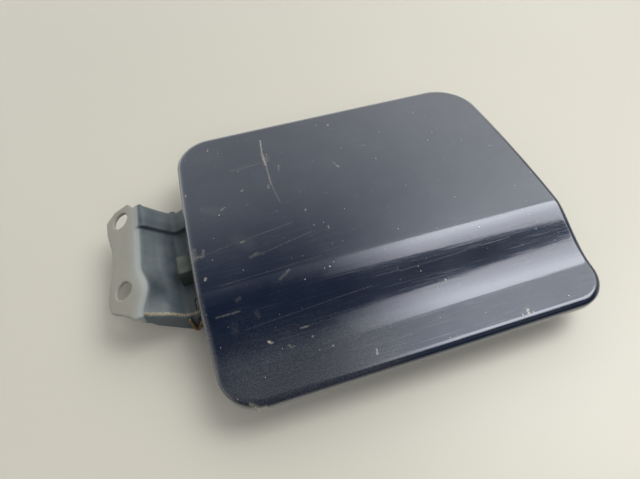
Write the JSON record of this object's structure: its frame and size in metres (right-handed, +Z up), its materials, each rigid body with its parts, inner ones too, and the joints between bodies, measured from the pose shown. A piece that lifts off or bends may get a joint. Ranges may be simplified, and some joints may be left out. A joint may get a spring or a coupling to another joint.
{
  "type": "car fuel door",
  "caption": "Painted steel fuel door for a car, with a hemmed rim and a pressed step, sprung on a bent hinge base with a two-hole mounting flange.",
  "frame": {"origin": "under the middle of the part's bounding box, on the surface that it lies on", "axes": "+Z up from that surface, out of the door's painted face; +X along the longest extent, from the hinge's mounting flange to the door's free edge; +Y from the stepped front edge to the back edge"},
  "size_m": [0.2139, 0.1474, 0.03],
  "materials": {
    "door_paint": "gloss, scratched",
    "primer_paint": "satin",
    "base_paint": "satin, worn at the folds",
    "plated_steel": "zinc plated, dull",
    "rusty_steel": "rusty",
    "rubber": "matte",
    "stop_rubber": "matte, dusty",
    "sealer": "painted over",
    "mastic": "matte"
  },
  "bodies": {
    "base": {"base_bracket": "base_paint", "hinge_pin": "plated_steel", "pin_clip": "plated_steel", "hinge_spring": "rusty_steel", "stop_buffer": "stop_rubber"},
    "door": {"outer_panel": "door_paint", "inner_panel": "primer_paint", "hem_sealer": "sealer", "mastic_pad_1": "mastic", "mastic_pad_2": "mastic", "mastic_pad_3": "mastic", "mastic_pad_4": "mastic", "hinge_arm": "primer_paint", "striker_bracket": "primer_paint", "striker_loop": "plated_steel", "back_buffer": "rubber", "front_buffer": "rubber"}
  },
  "joints": [
    {"name": "door_hinge", "type": "hinge", "parent": "base", "child": "door", "pos_m": [-0.05476, 0.0002, 0.0179], "axis": [0, 1, 0], "range_deg": [0, 78], "stiffness_Nm_per_rad": 0.12, "springref_deg": -68.75, "deforming": ["hinge_spring"]}
  ]
}
